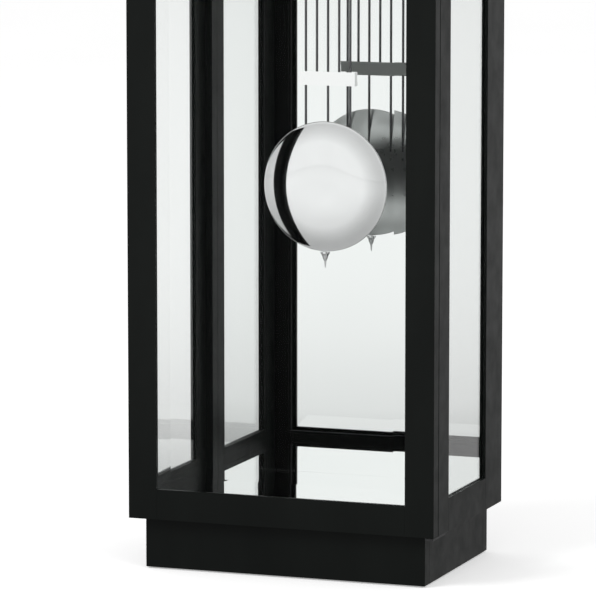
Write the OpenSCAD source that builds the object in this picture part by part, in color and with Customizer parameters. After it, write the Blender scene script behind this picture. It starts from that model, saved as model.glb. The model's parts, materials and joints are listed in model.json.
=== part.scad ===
// Floor-standing pendulum clock in a satin black glazed case.
// Millimetres, +Z up, front faces -Y, origin on the floor under the middle of the case.

/* [Case] */
// Overall height of the case
case_h = 1850; // [1750:10:2000]
// Width across the case and its door
case_w = 440; // [420:5:500]
// Depth from the door's front face to the back of the case
case_d = 300; // [300:2:360]
// Thickness of the side frames
side_t = 12; // [11:1:14]
// Width of a side frame's front stile
side_front_w = 44; // [30:1:60]
// Width of a side frame's rear stile
side_rear_w = 74; // [40:1:80]
// Height of a side frame's bottom and top rails
side_rail_h = 45; // [40:1:80]
// Thickness of the top board
top_t = 20; // [16:1:30]
// Thickness of the floor board inside the case
floor_t = 25; // [18:1:28]
// Thickness of the back board
back_t = 15; // [9:1:20]

/* [Plinth] */
// Height of the plinth, from the floor to the underside of the case
plinth_h = 71; // [50:1:120]
// Setback of the plinth at the front and sides
plinth_in = 18; // [5:1:40]
// Setback of the plinth at the back
plinth_back_in = 10; // [0:1:20]
// Thickness of the plinth boards
plinth_t = 18; // [12:1:24]
// Gap that the feet leave under the plinth
foot_gap = 2; // [2:1:15]
// Radius of a levelling foot's pad
foot_r = 13; // [10:1:20]

/* [Door] */
// Thickness of the door frame
door_t = 18.5; // [16:0.5:24]
// Gap between the door and the case
door_gap = 2; // [1.8:0.1:3]
// Width of the door's stiles
door_stile_w = 41; // [30:1:60]
// Height of the door's rails
door_rail_h = 42; // [30:1:60]
// Thickness of the door glass
door_glass_t = 5; // [4:0.5:6]
// Width of the ground bevel round the door glass
bevel_w = 26; // [18:1:36]
// Depth of glass that the bevel takes off at its edge
bevel_drop = 2.1; // [1:0.1:3]
// Height of the knob above the floor
knob_z = 1010; // [900:10:1200]

/* [Glazing] */
// Depth of the rebate that holds the glass
rebate = 8; // [6:1:12]
// Thickness of the side glass
side_glass_t = 4; // [3:0.5:6]
// Thickness of the back and floor mirrors
mirror_t = 4; // [3:0.5:6]
// Height of the back mirror's top edge above the floor
mirror_top = 1330; // [1200:10:1340]
// Width of the beads at the sides of the back mirror
mirror_bead = 11; // [8:1:16]
// Depth of the beads at the sides of the back mirror
mirror_bead_d = 20; // [4:1:24]

/* [Pendulum] */
// Height of the point the pendulum swings about
swing_z = 1557; // [1557:1:1557]
// Distance of the pendulum's plane behind the door's front face
pend_back = 195; // [190:1:204]
// Height of the middle of the bob
bob_z = 518; // [480:1:560]
// Radius of the bob
bob_r = 90; // [70:0.5:110]
// Thickness of the bob at its middle
bob_t = 26; // [16:1:30]
// Thickness of the bob at its rim
bob_edge = 3; // [2:0.5:6]
// Radius of the pendulum's rods
rod_r = 1.7; // [1.5:0.1:3]
// Distance between neighbouring rods
rod_pitch = 16.2; // [12:0.2:20]
// Height of the lower crossbar's underside
bar_z = 657; // [640:1:700]
// Width of the crossbars
bar_w = 82; // [80:1:100]
// Height of the crossbars
bar_h = 19; // [16:1:22]

/* [Movement and dial] */
// Height of the arbor that carries the hands
arbor_z = 1512; // [1512:1:1512]
// Height of the three winding arbors
drum_z = 1480; // [1480:1:1480]
// Distance between neighbouring winding arbors
drum_pitch = 60; // [60:1:66]
// Radius of the cable drums
drum_r = 16; // [14:0.5:18]
// Radius of the dial
dial_r = 160; // [140:1:170]
// Length of the minute hand
minute_l = 132; // [110:1:140]
// Length of the hour hand
hour_l = 92; // [70:1:100]
// Radius of a weight's shell
weight_r = 28; // [22:1:29]
// Length of a weight's shell
weight_l = 250; // [200:5:270]

/* [Hidden] */
front_y = -case_d / 2;
back_y = case_d / 2;
half_w = case_w / 2;
in_x = half_w - side_t;
door_y = front_y + door_t;
case_y = door_y + door_gap;
box_z = plinth_h;
side_z = case_h - top_t;
door_z0 = box_z + 1;
door_z1 = case_h - 1;
floor_z = box_z + floor_t;
well_z = floor_z + 3;
board_y = back_y - back_t;
mirror_y = board_y - mirror_t;
lip = 5;
door_lip = 6;
door_bead_w = 3.5;
sf_y = front_y + 20 + side_front_w;
sr_y = back_y - side_rear_w;
sb_z = box_z + side_rail_h;
st_z = side_z - side_rail_h;
dx = half_w - door_stile_w;
db_z = door_z0 + door_rail_h;
dt_z = door_z1 - door_rail_h;
pivot_x = half_w - 6;
pivot_y = door_y - 11;
pend_y = front_y + pend_back;
bob_y = pend_y - 10.5;
dome_power = 3.2;
hang_z = 1282;
bar_y0 = pend_y - 5.5;
bar_y1 = pend_y + 5.5;
catch_w = 11;
seat_z = 1435;
seat_t = 20;
seat_y0 = -64;
seat_y1 = 20;
plate_y0 = -60;
plate_y1 = 12.5;
plate_t = 2.5;
cable_y = -23;
cable_x = drum_r + 1.1;
pulley_z = 1372;
shell_z = 1335;
esc_z = swing_z - 22;
esc_r = 15;
stud_x = -19.2;
dial_y = -74;
hammer_y = 26;
hammer_z = 1452;
rods_y = 120;
chime_x = [-60, -36, 36, 60];
black = [0.07, 0.07, 0.07];
steel = [0.75, 0.75, 0.77];
gold = [0.78, 0.62, 0.3];
clear = [0.8, 0.9, 0.88, 0.35];
silver = [0.85, 0.87, 0.88];

// A box given by its low and high limits on each axis.
module span(x0, x1, y0, y1, z0, z1) {
    translate([x0, y0, z0])
        cube([x1 - x0, y1 - y0, z1 - z0]);
}

// The same thing on the right and on the left.
module both() {
    children();
    mirror([1, 0, 0])
        children();
}

// A round bar along Y.
module bar_y(x, z, y0, y1, r, fn = 32) {
    translate([x, y1, z])
        rotate([90, 0, 0])
            cylinder(h = y1 - y0, r = r, $fn = fn);
}

// A round bar along X.
module bar_x(y, z, x0, x1, r, fn = 32) {
    translate([x0, y, z])
        rotate([0, 90, 0])
            cylinder(h = x1 - x0, r = r, $fn = fn);
}

// A round bar along Z.
module bar_z3(x, y, z0, z1, r, fn = 32) {
    translate([x, y, z0])
        cylinder(h = z1 - z0, r = r, $fn = fn);
}

// A toothed wheel's outline: slim teeth on a root circle.
module wheel_2d(teeth, pitch_r, up, down, shift = 0) {
    step = 360 / teeth;
    half = step * 0.17;
    tip = step * 0.07;
    root = step * 0.23;
    polygon([
        for (i = [0 : teeth - 1])
            for (p = [[-root, pitch_r - down], [-half, pitch_r], [-tip, pitch_r + up],
                      [tip, pitch_r + up], [half, pitch_r], [root, pitch_r - down]])
                let (a = (i + shift) * step + p[0])
                    [p[1] * cos(a), p[1] * sin(a)]
    ]);
}

// A toothed wheel whose axis runs along Y, from y0 to y1.
module wheel_y(x, z, y0, y1, teeth, pitch_r, up, down, bore, shift = 0) {
    translate([x, y1, z])
        rotate([90, 0, 0])
            linear_extrude(height = y1 - y0)
                difference() {
                    wheel_2d(teeth, pitch_r, up, down, shift);
                    if (bore > 0)
                        circle(r = bore, $fn = 32);
                }
}

// ---- plinth and feet ----

module plinth_front_rear() {
    w = half_w - plinth_in;
    yb = back_y - plinth_back_in;
    color(black) {
        span(-w, w, front_y + plinth_in, front_y + plinth_in + plinth_t, foot_gap, box_z);
        span(-w, w, yb - plinth_t, yb, foot_gap, box_z);
    }
}

module plinth_sides() {
    w = half_w - plinth_in;
    yf = front_y + plinth_in + plinth_t;
    yb = back_y - plinth_back_in - plinth_t;
    color(black)
        both()
            span(w - plinth_t, w, yf, yb, foot_gap, box_z);
}

foot_x = half_w - plinth_in - plinth_t - 20;
foot_ys = [front_y + plinth_in + plinth_t + 20, back_y - plinth_back_in - plinth_t - 20];

module plinth_blocks() {
    color([0.55, 0.42, 0.28])
        both()
            for (y = foot_ys)
                difference() {
                    span(foot_x - 20, foot_x + 20, y - 20, y + 20, box_z - 45, box_z);
                    bar_z3(foot_x, y, box_z - 46, box_z - 6, 4.05);
                }
}

module levelling_feet() {
    color(steel)
        both()
            for (y = foot_ys) {
                translate([foot_x, y, 0])
                    cylinder(h = 5, r1 = foot_r, r2 = foot_r - 2, $fn = 48);
                bar_z3(foot_x, y, 5, 9, 6.5, 6);
                bar_z3(foot_x, y, 9, box_z - 10, 4);
            }
}

// ---- case ----

module case_floor() {
    color(black)
        span(-in_x, in_x, case_y, board_y, box_z, floor_z);
}

module floor_mirror() {
    color(silver)
        span(-in_x, in_x, case_y, mirror_y, floor_z, well_z);
}

// The rebate cut from the inside of the right-hand side frame.
module side_rebate() {
    span(in_x - 1, half_w - lip, sf_y - rebate, sr_y + rebate, sb_z - rebate, st_z + rebate);
}

module side_stiles() {
    color(black)
        both()
            difference() {
                union() {
                    span(in_x, half_w, case_y, sf_y, box_z, side_z);
                    span(in_x, half_w, sr_y, back_y, box_z, side_z);
                }
                side_rebate();
            }
}

module side_rails() {
    color(black)
        both()
            difference() {
                union() {
                    span(in_x, half_w, sf_y, sr_y, box_z, sb_z);
                    span(in_x, half_w, sf_y, sr_y, st_z, side_z);
                }
                side_rebate();
            }
}

module side_glass() {
    x1 = half_w - lip;
    g = rebate - 0.5;
    color(clear)
        both()
            span(x1 - side_glass_t, x1, sf_y - g, sr_y + g, sb_z - g, st_z + g);
}

// Loose beads that hold the side glass, and the beads round the back mirror.
module glazing_beads() {
    x1 = half_w - lip - side_glass_t;
    y0 = sf_y - rebate;
    y1 = sr_y + rebate;
    color(black)
        both() {
            span(in_x, x1, y0, y1, sb_z - rebate, sb_z);
            span(in_x, x1, y0, y1, st_z, st_z + rebate);
            span(in_x, x1, y0, sf_y, sb_z + 0.2, st_z - 0.2);
            span(in_x, x1, sr_y, y1, sb_z + 0.2, st_z - 0.2);
            span(in_x - mirror_bead, in_x, mirror_y - mirror_bead_d, mirror_y, well_z, mirror_top);
        }
    color(black)
        span(-in_x, in_x, mirror_y - 4, board_y, mirror_top + 0.2, mirror_top + 12);
}

module back_panel() {
    color(black)
        span(-in_x, in_x, board_y, back_y, box_z, side_z);
}

module back_mirror() {
    color(silver)
        span(-in_x, in_x, mirror_y, board_y, floor_z, mirror_top);
}

module top_panel() {
    color(black)
        span(-half_w, half_w, case_y, back_y, side_z, case_h);
}

// Brackets under and over the door, each with a pin that the door turns on.
module door_pivots() {
    color(steel) {
        span(in_x, half_w - 1, front_y + 2, case_y + 36, box_z - 3, box_z);
        bar_z3(pivot_x, pivot_y, box_z, box_z + 0.8, 4.8, 40);
        bar_z3(pivot_x, pivot_y, box_z + 0.8, box_z + 16, 2.5, 40);
        span(in_x, half_w - 1, front_y + 2, case_y + 36, case_h, case_h + 3);
        bar_z3(pivot_x, pivot_y, case_h - 0.8, case_h, 4.8, 40);
        bar_z3(pivot_x, pivot_y, case_h - 16, case_h - 0.8, 2.5, 40);
    }
}

module magnet_catch() {
    color(steel)
        span(-in_x, -in_x + catch_w, case_y, case_y + 12, knob_z - 20, knob_z + 20);
}

// ---- movement support ----

module seat_board() {
    color([0.55, 0.42, 0.28])
        difference() {
            span(-in_x, in_x, seat_y0, seat_y1, seat_z - seat_t, seat_z);
            for (i = [-1 : 1])
                span(i * drum_pitch - 22, i * drum_pitch - 12, -30, -16, seat_z - seat_t - 1, seat_z + 1);
        }
}

module seat_rails() {
    color(black)
        both()
            span(in_x - 18, in_x, case_y, board_y, seat_z - seat_t - 30, seat_z - seat_t);
}

module movement_plates() {
    color(gold) {
        difference() {
            span(-78, 78, plate_y0, plate_y0 + plate_t, seat_z, 1592);
            bar_y(0, arbor_z, plate_y0 - 1, plate_y0 + plate_t + 1, 2.55);
            bar_y(0, esc_z, plate_y0 - 1, plate_y0 + plate_t + 1, 1.25);
            bar_y(0, swing_z, plate_y0 - 1, plate_y0 + plate_t + 1, 1.55);
            for (i = [-1 : 1])
                bar_y(i * drum_pitch, drum_z, plate_y0 - 1, plate_y0 + plate_t + 1, 3.05);
        }
        difference() {
            span(-78, 78, plate_y1 - plate_t, plate_y1, seat_z, 1592);
            bar_y(0, arbor_z, plate_y1 - plate_t - 1, plate_y1 + 1, 2.55);
            bar_y(0, esc_z, plate_y1 - plate_t - 1, plate_y1 + 1, 1.25);
            bar_y(0, swing_z, plate_y1 - plate_t - 1, plate_y1 + 1, 1.55);
            for (i = [-1 : 1])
                bar_y(i * drum_pitch, drum_z, plate_y1 - plate_t - 1, plate_y1 + 1, 3.05);
        }
    }
}

// Pillars between the plates, the dial's feet, the motion work's stud and the hammers' arbor.
module movement_posts() {
    color(gold) {
        for (x = [-70, 70])
            for (z = [seat_z + 10, 1584]) {
                bar_y(x, z, plate_y0 + plate_t, plate_y1 - plate_t, 4, 24);
                bar_y(x, z, dial_y + 2, plate_y0, 3, 24);
            }
        bar_y(stud_x, arbor_z, -71, plate_y0, 1.5, 24);
        bar_x(hammer_y, hammer_z, -72, 72, 2, 24);
        for (x = [-75.5, 72])
            span(x, x + 3.5, plate_y1, hammer_y + 6, hammer_z - 6, hammer_z + 6);
    }
}

module suspension_cock() {
    color(gold)
        difference() {
            union() {
                span(-14, 14, plate_y1, pend_y + 8, swing_z + 12, swing_z + 24);
                span(-14, 14, plate_y1, plate_y1 + 4, swing_z + 6, swing_z + 12);
            }
            span(-0.4, 0.4, pend_y - 5, pend_y + 9, swing_z + 11, swing_z + 25);
        }
}

module suspension_spring() {
    color(steel)
        span(-0.2, 0.2, pend_y - 4, pend_y + 4, swing_z - 12, swing_z + 22);
}

module chime_block() {
    color([0.16, 0.16, 0.17])
        difference() {
            span(-78, 78, rods_y - 10, board_y, 1362, 1402);
            for (x = chime_x)
                bar_z3(x, rods_y, 1361, 1380, 2.5, 24);
        }
}

module chime_rods() {
    color(gold)
        for (i = [0 : 3])
            bar_z3(chime_x[i], rods_y, 900 + i * 38, 1380, 2.5, 24);
}

// ---- dial ----

module dial_plate() {
    color([0.93, 0.93, 0.9])
        difference() {
            bar_y(0, arbor_z, dial_y, dial_y + 2, dial_r, 96);
            bar_y(0, arbor_z, dial_y - 1, dial_y + 3, 7);
            for (i = [-1 : 1])
                bar_y(i * drum_pitch, drum_z, dial_y - 1, dial_y + 3, 6);
        }
}

module dial_bezel() {
    color(steel)
        translate([0, dial_y, arbor_z])
            rotate([90, 0, 0])
                rotate_extrude($fn = 96)
                    polygon([[dial_r - 5, 0], [dial_r + 3, 0], [dial_r + 3, 3], [dial_r + 1, 6],
                             [dial_r - 2, 6]]);
}

module hour_markers() {
    color(black)
        for (i = [0 : 11]) {
            w = i % 3 == 0 ? 8 : 4;
            translate([0, 0, arbor_z])
                rotate([0, i * 30, 0])
                    span(-w / 2, w / 2, dial_y - 1.5, dial_y, dial_r - 38, dial_r - 12);
        }
}

// ---- hands and motion work ----

// A tapered hand that points up before it is turned to its hour.
module hand(length, tail, w, y0, y1, hole, angle) {
    difference() {
        union() {
            translate([0, y1, arbor_z])
                rotate([0, angle, 0])
                    rotate([90, 0, 0])
                        linear_extrude(height = y1 - y0)
                            polygon([[-w * 0.7, -tail], [w * 0.7, -tail], [w / 2, 0],
                                     [w * 0.36, length * 0.9], [0, length], [-w * 0.36, length * 0.9],
                                     [-w / 2, 0]]);
            bar_y(0, arbor_z, y0, y1, 9, 40);
        }
        bar_y(0, arbor_z, y0 - 1, y1 + 1, hole);
    }
}

module hour_hand() {
    color(black)
        hand(hour_l, 22, 9, -83, -81.5, 5.55, 305);
}

module hour_wheel() {
    color(gold) {
        wheel_y(0, arbor_z, -69.5, -67.5, 40, 15.36, 0.5, 0.8, 3.8, 0);
        difference() {
            bar_y(0, arbor_z, -84, -69.5, 5.5);
            bar_y(0, arbor_z, -85, -69, 3.8);
        }
    }
}

module minute_hand() {
    color(black)
        hand(minute_l, 34, 7, -88.5, -87, 2.55, 60);
}

module cannon_pinion() {
    color(gold) {
        wheel_y(0, arbor_z, -66, -62, 12, 4.8, 0.5, 0.8, 0, 0.5);
        bar_y(0, arbor_z, -62, 11, 2.5);
        bar_y(0, arbor_z, -87, -66, 3.4);
        bar_y(0, arbor_z, -92, -87, 2.5);
    }
}

module minute_wheel() {
    color(gold) {
        wheel_y(stud_x, arbor_z, -65, -63, 36, 14.4, 0.5, 0.8, 1.55, 0);
        wheel_y(stud_x, arbor_z, -70.5, -65, 10, 3.84, 0.5, 0.8, 1.55, 0.5);
    }
}

module escape_wheel() {
    color(gold) {
        wheel_y(0, esc_z, -6, -4, 30, esc_r - 1.4, 1.4, 1.2, 0, 0);
        bar_y(0, esc_z, -59, -6, 1.2, 24);
        bar_y(0, esc_z, -4, 11.5, 1.2, 24);
    }
}

// The anchor's arms reach over the escape wheel, and its crutch reaches back to the pendulum.
module anchor() {
    color(steel) {
        translate([0, -3.5, swing_z])
            rotate([90, 0, 0])
                linear_extrude(height = 3)
                    union() {
                        circle(r = 4, $fn = 32);
                        polygon([[-3, 3.5], [3, 3.5], [16, -6], [15, -12], [12.6, -10.5], [12, -6.5], [0, -2],
                                 [-12, -6.5], [-12.6, -10.5], [-15, -12], [-16, -6]]);
                    }
        bar_y(0, swing_z, -59, -6.5, 1.5, 24);
        bar_y(0, swing_z, -3.5, 22, 1.5, 24);
        span(-3, 3, 18, 20, swing_z - 78, swing_z - 1.2);
        span(-7, 7, 18, 20, swing_z - 86, swing_z - 78);
        for (x = [-1, 1])
            span(x * 5 - 1.5, x * 5 + 1.5, 20, pend_y + 4, swing_z - 86, swing_z - 80);
    }
}

// ---- drums, cables and weights ----

// A cable drum with its flanges, great wheel and square-ended winding arbor.
module drum(x, wheel_at) {
    color(gold) {
        bar_y(x, drum_z, -35, -11, drum_r, 48);
        bar_y(x, drum_z, -37, -35, drum_r + 4, 48);
        bar_y(x, drum_z, -11, wheel_at, drum_r + 4, 48);
        wheel_y(x, drum_z, wheel_at, wheel_at + 2, 60, 27.4, 0.8, 1.2, 0, 0);
        bar_y(x, drum_z, -60, -37, 3);
        bar_y(x, drum_z, wheel_at + 2, 11.5, 3);
        span(x - 2.1, x + 2.1, -79, -60, drum_z - 2.1, drum_z + 2.1);
    }
}

module drum_left() {
    drum(-drum_pitch, -9);
}

module drum_middle() {
    drum(0, -9);
}

module drum_right() {
    drum(drum_pitch, -9);
}

// A filled shell with turned caps, and the stirrup that its pulley turns in.
module weight(x) {
    color(steel)
        translate([x, cable_y, shell_z - weight_l])
            rotate_extrude($fn = 72)
                polygon([[0, -7], [9, -6], [14, -2], [weight_r - 2, -2], [weight_r - 2, 0], [weight_r, 0],
                         [weight_r, weight_l - 2], [weight_r - 2, weight_l - 2], [weight_r - 2, weight_l],
                         [10, weight_l + 2], [5, weight_l + 4], [0, weight_l + 4]]);
    color(gold) {
        bar_z3(x, cable_y, shell_z + 4, shell_z + 9, 3, 24);
        span(x - 7, x + 7, cable_y - 7, cable_y + 7, shell_z + 9, shell_z + 11.5);
        for (s = [-1, 1])
            span(x - 7, x + 7, cable_y + s * 6.2 - 0.8, cable_y + s * 6.2 + 0.8, shell_z + 11.5, pulley_z + 6);
        bar_y(x, pulley_z, cable_y - 5.4, cable_y + 5.4, 2, 24);
    }
}

module weight_left() {
    weight(-drum_pitch);
}

module weight_middle() {
    weight(0);
}

module weight_right() {
    weight(drum_pitch);
}

module pulley(x) {
    color(gold)
        translate([x, cable_y, pulley_z])
            rotate([90, 0, 0])
                rotate_extrude($fn = 60)
                    polygon([[2.05, -4], [21, -4], [22, -3], [22, -2.4], [drum_r, -1.6], [drum_r, 1.6],
                             [22, 2.4], [22, 3], [21, 4], [2.05, 4]]);
}

module pulley_left() {
    pulley(-drum_pitch);
}

module pulley_middle() {
    pulley(0);
}

module pulley_right() {
    pulley(drum_pitch);
}

// A steel cable from its drum down round the pulley and up to the underside of the seat board.
module cable(x) {
    color([0.6, 0.6, 0.6]) {
        bar_z3(x - cable_x, cable_y, pulley_z, drum_z, 0.75, 16);
        bar_z3(x + cable_x, cable_y, pulley_z, seat_z - seat_t, 0.75, 16);
        translate([x, cable_y, pulley_z])
            rotate([90, 0, 0])
                rotate([0, 0, 180])
                    rotate_extrude(angle = 180, $fn = 48)
                        translate([cable_x, 0])
                            circle(r = 0.75, $fn = 16);
    }
}

module cable_left() {
    cable(-drum_pitch);
}

module cable_middle() {
    cable(0);
}

module cable_right() {
    cable(drum_pitch);
}

// ---- chime hammers ----

module hammer(x) {
    color(gold)
        difference() {
            union() {
                bar_x(hammer_y, hammer_z, x - 5, x + 5, 5);
                hull() {
                    bar_x(hammer_y + 2.5, hammer_z - 3.5, x - 1.2, x + 1.2, 1.5, 16);
                    bar_x(hammer_y + 74, hammer_z - 99, x - 1.2, x + 1.2, 1.5, 16);
                }
                bar_y(x, hammer_z - 102, hammer_y + 66, hammer_y + 84, 7);
            }
            bar_x(hammer_y, hammer_z, x - 6, x + 6, 2.05);
        }
}

module hammer_1() {
    hammer(chime_x[0]);
}

module hammer_2() {
    hammer(chime_x[1]);
}

module hammer_3() {
    hammer(chime_x[2]);
}

module hammer_4() {
    hammer(chime_x[3]);
}

// ---- door ----

// The rebate cut from the back of the door for its glass.
module door_rebate() {
    span(-dx - rebate, dx + rebate, front_y + door_lip, door_y + 1, db_z - rebate, dt_z + rebate);
}

module door_stiles() {
    color(black)
        difference() {
            both()
                span(dx, half_w, front_y, door_y, door_z0, door_z1);
            door_rebate();
            bar_z3(pivot_x, pivot_y, door_z0 - 1, door_z0 + 17, 2.55, 40);
            bar_z3(pivot_x, pivot_y, door_z1 - 17, door_z1 + 1, 2.55, 40);
        }
}

module door_rails() {
    color(black)
        difference() {
            union() {
                span(-dx, dx, front_y, door_y, door_z0, db_z);
                span(-dx, dx, front_y, door_y, dt_z, door_z1);
            }
            door_rebate();
        }
}

// A plate of glass with a wide bevel ground round its front.
module door_glass() {
    x = dx + rebate - 0.5;
    z0 = db_z - rebate + 0.5;
    z1 = dt_z + rebate - 0.5;
    y0 = front_y + door_lip;
    y1 = y0 + door_glass_t;
    color(clear)
        hull() {
            span(-x, x, y0 + bevel_drop, y1, z0, z1);
            span(-x + bevel_w, x - bevel_w, y0, y1, z0 + bevel_w, z1 - bevel_w);
        }
}

module door_glass_beads() {
    y0 = front_y + door_lip + door_glass_t;
    x1 = dx + rebate;
    z0 = db_z - rebate;
    z1 = dt_z + rebate;
    color(black) {
        span(-x1, x1, y0, door_y, z0, z0 + door_bead_w);
        span(-x1, x1, y0, door_y, z1 - door_bead_w, z1);
        both()
            span(x1 - door_bead_w, x1, y0, door_y, z0 + door_bead_w + 0.2, z1 - door_bead_w - 0.2);
    }
}

module door_knob() {
    color(steel)
        translate([-half_w + door_stile_w / 2, front_y, knob_z])
            rotate([90, 0, 0])
                rotate_extrude($fn = 60)
                    polygon([[0, 0], [5, 0], [4, 4], [4, 6], [7.5, 8.5], [8, 10], [7.5, 12], [5, 13], [0, 13.3]]);
}

module door_strike() {
    color(steel)
        span(-in_x, -in_x + catch_w, door_y, door_y + 1.4, knob_z - 18, knob_z + 18);
}

// ---- pendulum ----

// The five rods' places across the pendulum, counted from its middle.
module at_rods() {
    for (i = [-2 : 2])
        translate([i * rod_pitch, 0, 0])
            children();
}

// The top chops, the leader and the upper crossbar that the rods hang from.
module pendulum_leader() {
    color(steel) {
        difference() {
            span(-6, 6, pend_y - 5, pend_y + 5, swing_z - 32, swing_z - 8);
            span(-1.6, 1.6, pend_y - 6, pend_y + 6, swing_z - 16, swing_z - 7);
        }
        bar_z3(0, pend_y, hang_z + bar_h, swing_z - 32, 2, 24);
        span(-bar_w / 2, bar_w / 2, bar_y0, bar_y1, hang_z, hang_z + bar_h);
    }
}

// Three rods run on into the bob and two end in the lower crossbar.
module pendulum_rods() {
    color([0.3, 0.3, 0.31])
        for (i = [-2 : 2])
            bar_z3(i * rod_pitch, pend_y, i % 2 == 0 ? bob_z + 31 : bar_z + 1, hang_z, rod_r, 24);
}

// The lower crossbar: a folded channel with a plain face to the front and pins in its back.
module pendulum_bar() {
    color(steel) {
        difference() {
            span(-bar_w / 2, bar_w / 2, bar_y0, bar_y1, bar_z, bar_z + bar_h);
            at_rods()
                bar_z3(0, pend_y, bar_z - 1, bar_z + bar_h + 1, rod_r + 0.05, 24);
            span(-bar_w, bar_w, bar_y1 - 1.3, bar_y1 + 1, bar_z + 5, bar_z + bar_h - 5);
        }
        at_rods()
            bar_y(0, bar_z + bar_h / 2, bar_y1 - 1.3, bar_y1 - 0.1, 1.6, 16);
    }
}

// A lens domed to the front and back, bored from its top for the rods that carry it.
module pendulum_bob() {
    half_edge = bob_edge / 2;
    dome = bob_t / 2 - half_edge;
    steps = 16;
    function point(i, side) = [bob_r * i / steps, side * (half_edge + dome * (1 - pow(i / steps, dome_power)))];
    color(steel)
        difference() {
            translate([0, bob_y, bob_z])
                rotate([90, 0, 0])
                    rotate_extrude($fn = 120)
                        polygon(concat(
                            [for (i = [0 : steps]) point(i, -1)],
                            [for (i = [steps : -1 : 0]) point(i, 1)]));
            for (i = [-1 : 1])
                bar_z3(i * 2 * rod_pitch, pend_y, bob_z + 30, bob_z + bob_r, rod_r + 0.05, 24);
        }
}

module rating_nut() {
    z = bob_z - bob_r;
    color(steel)
        translate([0, bob_y, 0])
            rotate_extrude($fn = 48)
                polygon([[0, z - 23], [0.8, z - 22], [1.4, z - 15], [1.7, z - 13], [3.4, z - 10], [4.4, z - 6],
                         [6.6, z - 2.6], [6.6, z - 0.4], [3, z - 0.4], [3, z - 0.2], [0, z - 0.2]]);
}

// ---- draw ----

plinth_front_rear();
plinth_sides();
plinth_blocks();
levelling_feet();
case_floor();
floor_mirror();
side_stiles();
side_rails();
side_glass();
glazing_beads();
back_panel();
back_mirror();
top_panel();
door_pivots();
magnet_catch();
seat_board();
seat_rails();
movement_plates();
movement_posts();
suspension_cock();
suspension_spring();
chime_block();
chime_rods();
dial_plate();
dial_bezel();
hour_markers();
door_stiles();
door_rails();
door_glass();
door_glass_beads();
door_knob();
door_strike();
hour_hand();
hour_wheel();
minute_hand();
cannon_pinion();
minute_wheel();
escape_wheel();
anchor();
drum_left();
drum_middle();
drum_right();
weight_left();
weight_middle();
weight_right();
pulley_left();
pulley_middle();
pulley_right();
cable_left();
cable_middle();
cable_right();
hammer_1();
hammer_2();
hammer_3();
hammer_4();
pendulum_leader();
pendulum_rods();
pendulum_bar();
pendulum_bob();
rating_nut();
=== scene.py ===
import json
import math

import bmesh
import bpy
from mathutils import Matrix, Vector


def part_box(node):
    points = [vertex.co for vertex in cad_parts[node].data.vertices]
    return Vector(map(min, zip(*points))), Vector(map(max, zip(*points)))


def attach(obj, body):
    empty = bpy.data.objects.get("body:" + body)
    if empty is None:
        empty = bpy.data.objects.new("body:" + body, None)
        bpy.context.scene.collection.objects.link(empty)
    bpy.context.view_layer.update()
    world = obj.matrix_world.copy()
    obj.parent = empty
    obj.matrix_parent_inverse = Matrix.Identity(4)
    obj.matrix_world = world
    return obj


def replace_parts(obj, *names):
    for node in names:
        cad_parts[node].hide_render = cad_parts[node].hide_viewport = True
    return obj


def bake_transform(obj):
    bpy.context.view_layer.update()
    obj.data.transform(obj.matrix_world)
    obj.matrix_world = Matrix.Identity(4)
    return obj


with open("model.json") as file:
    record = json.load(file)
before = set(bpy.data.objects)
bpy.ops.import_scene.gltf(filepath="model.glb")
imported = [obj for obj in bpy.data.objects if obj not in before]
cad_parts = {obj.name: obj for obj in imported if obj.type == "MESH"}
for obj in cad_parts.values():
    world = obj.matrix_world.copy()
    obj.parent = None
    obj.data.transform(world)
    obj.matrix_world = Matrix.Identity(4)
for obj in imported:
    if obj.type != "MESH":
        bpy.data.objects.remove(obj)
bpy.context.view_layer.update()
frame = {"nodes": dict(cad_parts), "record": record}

MM = 0.001
SIDES = ("left", "middle", "right")
ON_AXIS = 1e-7
SMOOTH_ANGLE = 35

# ---- camera, light and stage ----

CAMERA_AT = (2.0720, -5.7179, 1.2093)
CAMERA_YAW = 0.3520
CAMERA_PITCH = 0.1384
CAMERA_LENS = 266.4

# Each softbox: name, place, the point it faces, edge length and power.
LAMPS = (
    ("key", (-2.6, -3.2, 3.4), (0, 0, 0.9), 2.0, 90),
    ("fill", (3.4, -2.0, 2.2), (0, 0, 0.8), 2.4, 40),
)
FLOOR_HALF = 20

# A soft bright patch of studio, to the front left of the clock and again behind it, as metal and glass show
# it: light from the world, and a painted glow on the floor.
# The stops run from the cosine of the angle to its middle to brightness.
PATCH = (-0.345, -0.93, -0.1)
PATCH_FROM = 0.75
PATCH_LEVELS = ((0.02, 0.66), (0.3, 0.72), (0.6, 0.88), (0.84, 1.1), (0.98, 1.16))
# The floor's painted glow, shown to every ray but the camera's, as a share of that brightness by distance
# from the clock, out to the fade distance given below, in metres.
FLOOR_GLOW_FADE = 16.0
FLOOR_GLOW_LEVELS = ((0.01, 0.7), (0.06, 0.8), (0.12, 0.93), (0.2, 1.0), (0.5, 1.0), (0.8, 0.94), (0.98, 0.93))
# The height that the floor's painted glow is aimed from, the middle of the bob.
BOB_HEIGHT = 0.518


def camera():
    """A long lens in front of the clock and to its right, looking slightly down."""
    data = bpy.data.cameras.new("camera")
    data.lens = CAMERA_LENS
    data.sensor_width = 36.0
    data.clip_end = 100.0
    cam = bpy.data.objects.new("camera", data)
    bpy.context.scene.collection.objects.link(cam)
    cam.location = CAMERA_AT
    cam.rotation_euler = (math.pi / 2 - CAMERA_PITCH, 0.0, CAMERA_YAW)
    bpy.context.scene.camera = cam


def area_light(name, at, target, size, watts):
    """A square softbox aimed at a point, unseen in metal and through glass."""
    data = bpy.data.lights.new(name, "AREA")
    data.shape = "SQUARE"
    data.size = size
    data.energy = watts
    lamp = bpy.data.objects.new(name, data)
    lamp.location = at
    lamp.visible_glossy = False
    lamp.visible_transmission = False
    lamp.rotation_euler = (Vector(target) - Vector(at)).to_track_quat("-Z", "Y").to_euler()
    bpy.context.scene.collection.objects.link(lamp)


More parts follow.
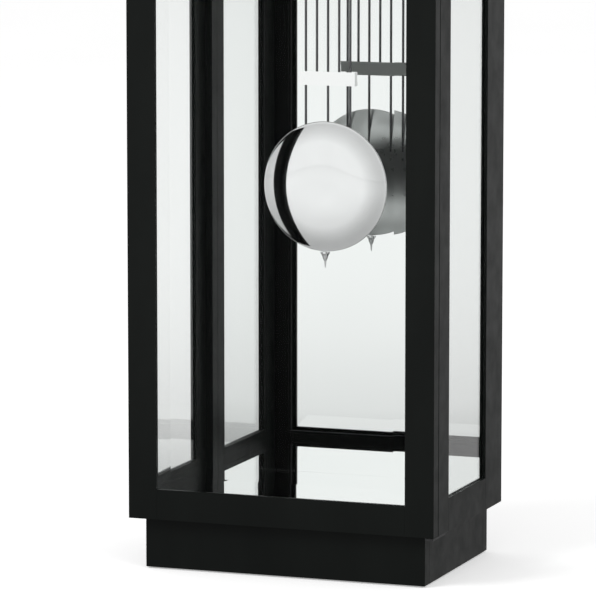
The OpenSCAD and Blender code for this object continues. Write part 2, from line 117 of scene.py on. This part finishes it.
def set_levels(ramp, levels):
    """Fills a colour ramp with greys that run smoothly into one another."""
    ramp.interpolation = "B_SPLINE"
    for place, level in levels:
        stop = ramp.elements.new(place)
        stop.color = (level, level, level, 1)
    ramp.elements.remove(ramp.elements[0])
    ramp.elements.remove(ramp.elements[-1])


def patch_brightness(tree, vector):
    """The studio's brightness in a direction, alike in front and behind: world light, and the floor's painted
    glow.
    """
    new = tree.nodes.new
    unit = new("ShaderNodeVectorMath")
    unit.operation = "NORMALIZE"
    split = new("ShaderNodeSeparateXYZ")
    depth = new("ShaderNodeMath")
    depth.operation = "ABSOLUTE"
    front = new("ShaderNodeMath")
    front.operation = "MULTIPLY"
    front.inputs[1].default_value = -1.0
    join = new("ShaderNodeCombineXYZ")
    angle = new("ShaderNodeVectorMath")
    angle.operation = "DOT_PRODUCT"
    angle.inputs[1].default_value = PATCH
    limits = new("ShaderNodeMapRange")
    limits.inputs["From Min"].default_value = PATCH_FROM
    fade = new("ShaderNodeValToRGB")
    set_levels(fade.color_ramp, PATCH_LEVELS)
    tree.links.new(vector, unit.inputs[0])
    tree.links.new(unit.outputs["Vector"], split.inputs["Vector"])
    tree.links.new(split.outputs["Y"], depth.inputs[0])
    tree.links.new(depth.outputs["Value"], front.inputs[0])
    tree.links.new(split.outputs["X"], join.inputs["X"])
    tree.links.new(front.outputs["Value"], join.inputs["Y"])
    tree.links.new(split.outputs["Z"], join.inputs["Z"])
    tree.links.new(join.outputs["Vector"], angle.inputs[0])
    tree.links.new(angle.outputs["Value"], limits.inputs["Value"])
    tree.links.new(limits.outputs["Result"], fade.inputs["Fac"])
    return fade.outputs["Color"]


def surround(tree):
    """A white backdrop to look at, and softly shaded walls for reflections and light."""
    backdrop = tree.nodes["Background"]
    backdrop.inputs["Color"].default_value = (1, 1, 1, 1)
    direction = tree.nodes.new("ShaderNodeTexCoord")
    walls = tree.nodes.new("ShaderNodeBackground")
    path = tree.nodes.new("ShaderNodeLightPath")
    choose = tree.nodes.new("ShaderNodeMixShader")
    tree.links.new(patch_brightness(tree, direction.outputs["Generated"]), walls.inputs["Color"])
    tree.links.new(path.outputs["Is Camera Ray"], choose.inputs["Fac"])
    tree.links.new(walls.outputs["Background"], choose.inputs[1])
    tree.links.new(backdrop.outputs["Background"], choose.inputs[2])
    tree.links.new(choose.outputs["Shader"], tree.nodes["World Output"].inputs["Surface"])


def studio():
    """The surroundings, two softboxes and a pale floor that shows a painted glow to metal and glass."""
    scene = bpy.context.scene
    scene.view_settings.view_transform = "Standard"
    world = bpy.data.worlds.new("studio")
    scene.world = world
    world.use_nodes = True
    surround(world.node_tree)
    for lamp in LAMPS:
        area_light(*lamp)
    f = FLOOR_HALF
    floor = mesh_object("floor", [(-f, -f, 0), (f, -f, 0), (f, f, 0), (-f, f, 0)], [(0, 1, 2, 3)])
    floor.data.materials.append(floor_with_painted_glow())


# ---- meshes ----


def mesh_object(name, verts, faces):
    mesh = bpy.data.meshes.new(name)
    mesh.from_pydata([tuple(v) for v in verts], [], faces)
    mesh.update()
    obj = bpy.data.objects.new(name, mesh)
    bpy.context.scene.collection.objects.link(obj)
    return obj


def from_bmesh(name, bm):
    bmesh.ops.recalc_face_normals(bm, faces=bm.faces)
    mesh = bpy.data.meshes.new(name)
    bm.to_mesh(mesh)
    bm.free()
    obj = bpy.data.objects.new(name, mesh)
    bpy.context.scene.collection.objects.link(obj)
    return obj


def smooth(obj, degrees=SMOOTH_ANGLE):
    """Smooth shading, with the edges sharper than this angle kept crisp."""
    for poly in obj.data.polygons:
        poly.use_smooth = True
    obj.data.set_sharp_from_angle(angle=math.radians(degrees))
    return obj


def add_block(bm, centre, size, turn=None):
    """Adds a box to a bmesh, turned by a matrix about its own centre."""
    place = Matrix.Translation(centre) @ (turn or Matrix.Identity(4)) @ Matrix.Diagonal((*size, 1))
    bmesh.ops.create_cube(bm, size=1.0, matrix=place)


def lathe(name, profile, steps, to_world):
    """Turns (radius, height) points about +Z, then puts the result in place with a matrix."""
    bm = bmesh.new()
    rings = []
    for radius, height in profile:
        if radius < ON_AXIS:
            rings.append([bm.verts.new((0, 0, height))])
            continue
        turn = 2 * math.pi / steps
        rings.append([bm.verts.new((radius * math.cos(i * turn), radius * math.sin(i * turn), height))
                      for i in range(steps)])
    for low, high in zip(rings, rings[1:]):
        for i in range(steps):
            j = (i + 1) % steps
            corners = [low[i % len(low)], low[j % len(low)], high[j % len(high)], high[i % len(high)]]
            unique = list(dict.fromkeys(corners))
            if len(unique) > 2:
                bm.faces.new(unique)
    bm.transform(to_world)
    return from_bmesh(name, bm)


def facing_front(x, y, z):
    """Puts a lathe's +Z axis along -Y, with its base at this point."""
    return Matrix.Translation((x, y, z)) @ Matrix.Rotation(math.pi / 2, 4, "X")


# ---- materials ----


GLASS_IOR = 1.5
SIDE_GLASS_REFLECTION = 0.9
DOOR_GLASS_REFLECTION = 0.03


class Shader:
    """A new material with short calls for its nodes."""

    def __init__(self, name):
        self.material = bpy.data.materials.new(name)
        self.material.use_nodes = True
        self.nodes = self.material.node_tree.nodes
        self.links = self.material.node_tree.links
        self.bsdf = self.nodes["Principled BSDF"]
        self.output = self.nodes["Material Output"]

    def set(self, **values):
        for key, value in values.items():
            self.bsdf.inputs[key.replace("_", " ")].default_value = value
        return self

    def node(self, kind, **values):
        made = self.nodes.new(kind)
        for key, value in values.items():
            if hasattr(made, key):
                setattr(made, key, value)
            else:
                made.inputs[key.replace("_", " ")].default_value = value
        return made

    def link(self, source, target):
        self.links.new(source, target)

    def position(self, scale=(1, 1, 1)):
        """Object coordinates in metres, stretched."""
        coords = self.node("ShaderNodeTexCoord")
        mapping = self.node("ShaderNodeMapping")
        mapping.inputs["Scale"].default_value = scale
        self.link(coords.outputs["Object"], mapping.inputs["Vector"])
        return mapping.outputs["Vector"]

    def noise(self, scale, detail=4.0, stretch=(1, 1, 1), roughness=0.55):
        made = self.node("ShaderNodeTexNoise", Scale=scale, Detail=detail, Roughness=roughness)
        self.link(self.position(stretch), made.inputs["Vector"])
        return made.outputs["Fac"]

    def ramp(self, value, low, high, colours):
        """Maps a value between low and high to two colours."""
        made = self.node("ShaderNodeValToRGB")
        made.color_ramp.elements[0].position = low
        made.color_ramp.elements[1].position = high
        made.color_ramp.elements[0].color = colours[0]
        made.color_ramp.elements[1].color = colours[1]
        self.link(value, made.inputs["Fac"])
        return made.outputs["Color"]

    def spread(self, value, low, high):
        """Maps a noise value to a range."""
        made = self.node("ShaderNodeMapRange")
        made.inputs["From Min"].default_value = 0.3
        made.inputs["From Max"].default_value = 0.7
        made.inputs["To Min"].default_value = low
        made.inputs["To Max"].default_value = high
        self.link(value, made.inputs["Value"])
        return made.outputs["Result"]

    def bump(self, value, strength, distance):
        made = self.node("ShaderNodeBump", Strength=strength, Distance=distance)
        self.link(value, made.inputs["Height"])
        self.link(made.outputs["Normal"], self.bsdf.inputs["Normal"])

    def choose(self, ray, otherwise, chosen):
        """Shows one shader to a kind of ray and the other to the rest."""
        path = self.node("ShaderNodeLightPath")
        mix = self.node("ShaderNodeMixShader")
        self.link(path.outputs[ray], mix.inputs["Fac"])
        self.link(otherwise, mix.inputs[1])
        self.link(chosen, mix.inputs[2])
        self.link(mix.outputs["Shader"], self.output.inputs["Surface"])

    def colour(self, socket):
        self.link(socket, self.bsdf.inputs["Base Color"])

    def rough(self, socket):
        self.link(socket, self.bsdf.inputs["Roughness"])


def floor_with_painted_glow():
    s = Shader("pale_floor_painted_glow").set(Roughness=0.9, Specular_IOR_Level=0.0)
    s.colour(s.ramp(s.noise(1.3), 0.3, 0.7, ((0.93, 0.93, 0.93, 1), (0.95, 0.95, 0.95, 1))))
    s.set(Emission_Color=(1, 1, 1, 1), Emission_Strength=0.35)
    away = s.node("ShaderNodeVectorMath", operation="LENGTH")
    s.link(s.position((1 / FLOOR_GLOW_FADE,) * 3), away.inputs[0])
    fade = s.node("ShaderNodeValToRGB")
    set_levels(fade.color_ramp, FLOOR_GLOW_LEVELS)
    s.link(away.outputs["Value"], fade.inputs["Fac"])
    from_bob = s.node("ShaderNodeVectorMath", operation="SUBTRACT")
    s.link(s.position(), from_bob.inputs[0])
    from_bob.inputs[1].default_value = (0, 0, BOB_HEIGHT)
    # Painted glow: every ray but the camera's sees the floor as emitted light, a bright patch aimed from the
    # bob and fading with distance, for metal and glass to reflect.
    painted_glow = s.node("ShaderNodeEmission")
    s.link(patch_brightness(s.material.node_tree, from_bob.outputs["Vector"]), painted_glow.inputs["Color"])
    s.link(fade.outputs["Color"], painted_glow.inputs["Strength"])
    s.choose("Is Camera Ray", painted_glow.outputs["Emission"], s.bsdf.outputs["BSDF"])
    return s.material


def lacquer():
    """Satin black lacquer over a fine-grained board: a faint orange peel and an uneven sheen."""
    s = Shader("satin_black_lacquer").set(Specular_IOR_Level=0.09)
    cloud = s.noise(9.0, 6.0, (1, 1, 0.25))
    s.colour(s.ramp(cloud, 0.35, 0.65, ((0.0045, 0.0055, 0.005, 1), (0.0065, 0.0078, 0.007, 1))))
    s.rough(s.spread(s.noise(38.0, 5.0), 0.34, 0.46))
    s.bump(s.noise(900.0, 2.0), 0.06, 0.0004)
    return s.material


def pale_wood():
    """Planed hardwood with its grain along X."""
    s = Shader("planed_wood").set(Roughness=0.6, Specular_IOR_Level=0.3)
    grain = s.noise(60.0, 8.0, (0.08, 1, 1), 0.65)
    s.colour(s.ramp(grain, 0.32, 0.7, ((0.36, 0.22, 0.11, 1), (0.58, 0.41, 0.24, 1))))
    s.bump(grain, 0.25, 0.0006)
    return s.material


def metal(name, colour, rough, stretch, scale=260.0, depth=0.08):
    """Bare metal whose finishing marks run across the stretched axes."""
    s = Shader(name).set(Metallic=1.0)
    marks = s.noise(scale, 6.0, stretch, 0.6)
    darker = tuple(c * 0.9 for c in colour)
    s.colour(s.ramp(marks, 0.3, 0.7, ((*darker, 1), (*colour, 1))))
    s.rough(s.spread(marks, rough[0], rough[1]))
    s.bump(marks, depth, 0.0002)
    return s.material


def polished(name, colour, rough):
    """Plated metal with the soft smears that handling leaves."""
    s = Shader(name).set(Metallic=1.0)
    smear = s.noise(14.0, 6.0)
    darker = tuple(c * 0.96 for c in colour)
    s.colour(s.ramp(smear, 0.35, 0.65, ((*darker, 1), (*colour, 1))))
    s.rough(s.spread(s.noise(55.0, 7.0), rough[0], rough[1]))
    return s.material


def bar_with_painted_back_shade():
    """The crossbars: bright plate in front; behind, a rougher finish, and a greyer colour that is painted
    shade, chosen by which way the surface faces.
    """
    s = Shader("crossbar_plate_back_shade").set(Metallic=1.0)
    facing = s.node("ShaderNodeNewGeometry")
    split = s.node("ShaderNodeSeparateXYZ")
    s.link(facing.outputs["Normal"], split.inputs["Vector"])
    grain = s.noise(300.0, 4.0)
    # Painted shade: the base colour greys from 0.93 on the front to 0.55 on the back, by the surface's
    # facing.
    s.colour(s.ramp(split.outputs["Y"], 0.1, 0.6, ((0.93, 0.93, 0.93, 1), (0.55, 0.56, 0.55, 1))))
    rough = s.node("ShaderNodeMapRange")
    rough.inputs["From Min"].default_value = 0.0
    rough.inputs["To Min"].default_value = 0.06
    rough.inputs["To Max"].default_value = 0.55
    s.link(split.outputs["Y"], rough.inputs["Value"])
    s.rough(rough.outputs["Result"])
    s.bump(grain, 0.05, 0.0002)
    return s.material


def silvering():
    """The back of a mirror seen through clear glass."""
    s = Shader("silvered_glass").set(Metallic=1.0)
    s.colour(s.ramp(s.noise(3.0, 2.0), 0.35, 0.65, ((0.9, 0.915, 0.91, 1), (0.925, 0.935, 0.93, 1))))
    s.rough(s.spread(s.noise(24.0, 5.0), 0.0, 0.012))
    return s.material


def glass(name, reflection):
    """Clear plate glass that lets light through to what it covers."""
    s = Shader(name).set(Transmission_Weight=1.0, IOR=GLASS_IOR, Base_Color=(0.985, 0.995, 0.99, 1))
    s.set(Specular_Tint=(reflection, reflection, reflection, 1))
    s.rough(s.spread(s.noise(30.0, 4.0), 0.0, 0.006))
    clear = s.node("ShaderNodeBsdfTransparent", Color=(0.94, 0.955, 0.95, 1))
    s.choose("Is Shadow Ray", s.bsdf.outputs["BSDF"], clear.outputs["BSDF"])
    return s.material


def iron():
    s = Shader("black_cast_iron").set(Specular_IOR_Level=0.4)
    s.colour(s.ramp(s.noise(70.0, 6.0), 0.3, 0.7, ((0.012, 0.012, 0.013, 1), (0.03, 0.03, 0.031, 1))))
    s.rough(s.spread(s.noise(120.0, 5.0), 0.45, 0.62))
    s.bump(s.noise(420.0, 5.0), 0.5, 0.0008)
    return s.material


def enamel(name, low, high, rough):
    """Sprayed enamel with a slight texture."""
    s = Shader(name)
    s.colour(s.ramp(s.noise(20.0, 5.0), 0.35, 0.65, ((*low, 1), (*high, 1))))
    s.rough(s.spread(s.noise(90.0, 4.0), rough[0], rough[1]))
    s.bump(s.noise(700.0, 2.0), 0.05, 0.0003)
    return s.material


def strand_with_painted_groove_shade():
    """Twisted steel strands: bands that slope across the cable, darker in the grooves between strands as
    painted shade.
    """
    s = Shader("stranded_cable_groove_shade").set(Metallic=1.0)
    wave = s.node("ShaderNodeTexWave", Scale=330.0, Distortion=0.0)
    wave.bands_direction = "DIAGONAL"
    s.link(s.position((1.6, 1.6, 1)), wave.inputs["Vector"])
    # Painted shade: the colour falls from 0.62 on the strands to 0.16 in the grooves between them, following
    # the bump.
    s.colour(s.ramp(wave.outputs["Fac"], 0.1, 0.8, ((0.16, 0.15, 0.14, 1), (0.62, 0.6, 0.57, 1))))
    s.rough(s.spread(s.noise(200.0), 0.25, 0.4))
    s.bump(wave.outputs["Fac"], 0.6, 0.0003)
    return s.material


def make_materials():
    """One material for each of the record's slots."""
    return {
        "black_lacquer": lacquer(),
        "pale_wood": pale_wood(),
        "steel": metal("brushed_steel", (0.56, 0.56, 0.57), (0.24, 0.36), (1, 1, 0.04)),
        "dark_steel": metal("dark_drawn_steel", (0.17, 0.17, 0.175), (0.3, 0.42), (1, 1, 0.03)),
        "bar_metal": bar_with_painted_back_shade(),
        "bright_metal": polished("polished_nickel", (0.87, 0.87, 0.875), (0.035, 0.075)),
        "brass": metal("lacquered_brass", (0.8, 0.6, 0.27), (0.16, 0.26), (0.05, 1, 1), 180.0, 0.04),
        "clear_glass": glass("side_glass", SIDE_GLASS_REFLECTION),
        "silvered_glass": silvering(),
        "iron": iron(),
        "dial_white": enamel("dial_enamel", (0.8, 0.8, 0.775), (0.84, 0.84, 0.82), (0.32, 0.42)),
        "dial_black": enamel("black_enamel", (0.01, 0.01, 0.011), (0.018, 0.018, 0.019), (0.14, 0.22)),
        "blued_steel": metal("blued_steel", (0.05, 0.07, 0.16), (0.2, 0.3), (1, 1, 0.05)),
        "cable": strand_with_painted_groove_shade(),
    }


# ---- CAD nodes that keep their shape ----

SOFT_EDGES = {
    "plinth_front_rear": 0.8, "plinth_sides": 0.8, "side_stiles": 0.8, "side_rails": 0.6, "top_panel": 1.0,
    "door_stiles": 1.0, "door_rails": 0.6, "seat_board": 0.8, "seat_rails": 0.8, "glazing_beads": 0.5,
    "door_glass_beads": 0.5, "chime_block": 1.2, "movement_plates": 0.3, "door_pivots": 0.4,
    "pendulum_bar": 0.5, "pendulum_leader": 0.5, "floor_mirror": 0.5, "back_mirror": 0.5,
    "hour_markers": 0.3, "suspension_cock": 0.5, "side_glass": 0.3, "magnet_catch": 0.5,
}


def soften(obj, width):
    """Rounds an object's sharp edges, in millimetres."""
    weld = obj.modifiers.new("join", "WELD")
    weld.merge_threshold = 1e-5
    bevel = obj.modifiers.new("edges", "BEVEL")
    bevel.width = width * MM
    bevel.segments = 2
    bevel.limit_method = "ANGLE"
    bevel.angle_limit = math.radians(50)
    bevel.harden_normals = True


def dress_nodes(materials):
    """Gives each CAD node its material and softens the edges of its boards."""
    slots = {part["node"]: part["material_slot"] for part in frame["record"]["subparts"]}
    for name, obj in frame["nodes"].items():
        obj.data.materials.clear()
        obj.data.materials.append(materials[slots[name]])
        if name in SOFT_EDGES:
            soften(obj, SOFT_EDGES[name])
    frame["nodes"]["door_glass"].data.materials[0] = glass("coated_door_glass", DOOR_GLASS_REFLECTION)
    frame["nodes"]["pendulum_bar"].data.materials[0] = materials["bar_metal"]


# ---- pieces built here ----


def finish_piece(obj, body, slot, materials):
    obj.data.materials.append(materials[slot])
    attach(obj, body)
    return obj


# The bob's dome is nearly flat in the middle and falls away faster towards its rim.
DOME_POWER = 3.2
HALF_RIM = 1.5 * MM
BOB_RINGS = 40
BOB_STEPS = 160


def bob(materials):
    """The lens: a polished dome in front, a satin one behind, and a rolled rim between them."""
    low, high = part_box("pendulum_bob")
    radius = (high[0] - low[0]) / 2
    dome = (high[1] - low[1]) / 2 - HALF_RIM
    face = []
    for i in range(BOB_RINGS + 1):
        share = i / BOB_RINGS
        face.append(((radius - HALF_RIM) * share, HALF_RIM + dome * (1 - share ** DOME_POWER)))
    edge = face[-1][1]
    quarter = [math.radians(15 * i) for i in range(1, 7)]
    face += [(radius - HALF_RIM + HALF_RIM * math.sin(a), edge * math.cos(a)) for a in quarter]
    centre = [(a + b) / 2 for a, b in zip(low, high)]
    front = lathe("bob_front", face, BOB_STEPS, facing_front(*centre))
    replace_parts(smooth(front, 60), "pendulum_bob")
    back = lathe("bob_back", [(r, -depth) for r, depth in face], BOB_STEPS, facing_front(*centre))
    finish_piece(smooth(back, 60), "pendulum", "steel", materials)
    back.data.materials[0] = polished("bob_back_satin", (0.84, 0.85, 0.845), (0.26, 0.36))
    return finish_piece(front, "pendulum", "bright_metal", materials)


def cable(side, materials):
    """A weight's cable: down from the drum, round the pulley and up to the seat board."""
    low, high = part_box(f"cable_{side}")
    pulley_low, pulley_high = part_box(f"pulley_{side}")
    seat_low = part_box("seat_board")[0]
    y = (low[1] + high[1]) / 2
    radius = (high[1] - low[1]) / 2
    turn = (high[0] - low[0]) / 2 - radius
    middle = (low[0] + high[0]) / 2
    axle = (pulley_low[2] + pulley_high[2]) / 2
    path = [(middle - turn, y, high[2] + (axle - high[2]) * i / 12) for i in range(12)]
    path += [(middle - turn * math.cos(math.pi * i / 24), y, axle - turn * math.sin(math.pi * i / 24))
             for i in range(25)]
    path += [(middle + turn, y, axle + (seat_low[2] - axle) * i / 10) for i in range(1, 11)]
    curve = bpy.data.curves.new(f"cable_run_{side}", "CURVE")
    curve.dimensions = "3D"
    curve.bevel_depth = radius
    curve.bevel_resolution = 4
    curve.use_fill_caps = True
    spline = curve.splines.new("POLY")
    spline.points.add(len(path) - 1)
    for point, at in zip(spline.points, path):
        point.co = (*at, 1)
    shape = bpy.data.objects.new(f"cable_shape_{side}", curve)
    bpy.context.scene.collection.objects.link(shape)
    bpy.context.view_layer.update()
    mesh = bpy.data.meshes.new_from_object(shape.evaluated_get(bpy.context.evaluated_depsgraph_get()))
    bpy.data.objects.remove(shape)
    obj = bpy.data.objects.new(f"cable_run_{side}", mesh)
    bpy.context.scene.collection.objects.link(obj)
    smooth(obj)
    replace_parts(obj, f"cable_{side}")
    obj.data.materials.clear()
    obj.data.materials.append(materials["cable"])
    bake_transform(obj)


def minute_track(materials):
    """Sixty fine strokes round the edge of the dial, longer at the fives."""
    low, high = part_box("dial_plate")
    radius = (high[0] - low[0]) / 2
    centre = Vector(((low[0] + high[0]) / 2, low[1], (low[2] + high[2]) / 2))
    bm = bmesh.new()
    for i in range(60):
        long_one = i % 5 == 0
        length = (6.0 if long_one else 3.5) * MM
        width = (1.6 if long_one else 0.8) * MM
        turn = Matrix.Rotation(math.radians(6 * i), 4, "Y")
        reach = turn @ Vector((0, 0, radius - 7 * MM - length / 2))
        add_block(bm, centre + reach + Vector((0, -0.1 * MM, 0)), (width, 0.2 * MM, length), turn)
    return finish_piece(from_bmesh("minute_track", bm), "case", "dial_black", materials)


def add_screw(bm, at, towards, radius):
    """A slotted screw head: a base disc with two half-round lands beside the slot."""
    turn = Vector((0, 0, 1)).rotation_difference(Vector(towards)).to_matrix().to_4x4()
    place = Matrix.Translation(at) @ turn
    low = radius * 0.3
    high = radius * 0.5
    bmesh.ops.create_cone(bm, cap_ends=True, segments=24, radius1=radius, radius2=radius, depth=low,
                          matrix=place @ Matrix.Translation((0, 0, low / 2)))
    angles = [math.radians(9 + 162 * i / 10) for i in range(11)]
    for side in (-1, 1):
        outline = [(radius * math.cos(a), side * radius * math.sin(a)) for a in angles]
        bottom = [bm.verts.new(place @ Vector((x, y, low))) for x, y in outline]
        top = [bm.verts.new(place @ Vector((x * 0.9, y * 0.93, high))) for x, y in outline]
        bm.faces.new(top)
        for i in range(len(outline)):
            j = (i + 1) % len(outline)
            bm.faces.new((bottom[i], bottom[j], top[j], top[i]))


def screws(name, places, towards, radius, body, slot, materials):
    bm = bmesh.new()
    for at in places:
        add_screw(bm, at, towards, radius)
    return finish_piece(smooth(from_bmesh(name, bm)), body, slot, materials)


def fixings(materials):
    """Screw heads on the movement, the chime block, and the suspension cock."""
    low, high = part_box("movement_plates")
    inset = 8 * MM
    corners = [(x, z) for x in (low[0] + inset, high[0] - inset) for z in (low[2] + 10 * MM, high[2] - inset)]
    screws("rear_pillar_screws", [(x, high[1], z) for x, z in corners], (0, 1, 0), 3.5 * MM, "case", "steel",
           materials)
    low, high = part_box("chime_block")
    middle = (low[2] + high[2]) / 2
    screws("chime_block_screws", [(x, low[1], middle) for x in (low[0] + 0.012, high[0] - 0.012)],
           (0, -1, 0), 4 * MM, "case", "steel", materials)
    low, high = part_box("suspension_cock")
    screws("cock_screws", [(x, low[1] + 0.009, high[2]) for x in (-0.009, 0.009)], (0, 0, 1), 2.5 * MM,
           "case", "steel", materials)


camera()
studio()
MATERIALS = make_materials()
dress_nodes(MATERIALS)
bob(MATERIALS)
for side in SIDES:
    cable(side, MATERIALS)
minute_track(MATERIALS)
fixings(MATERIALS)
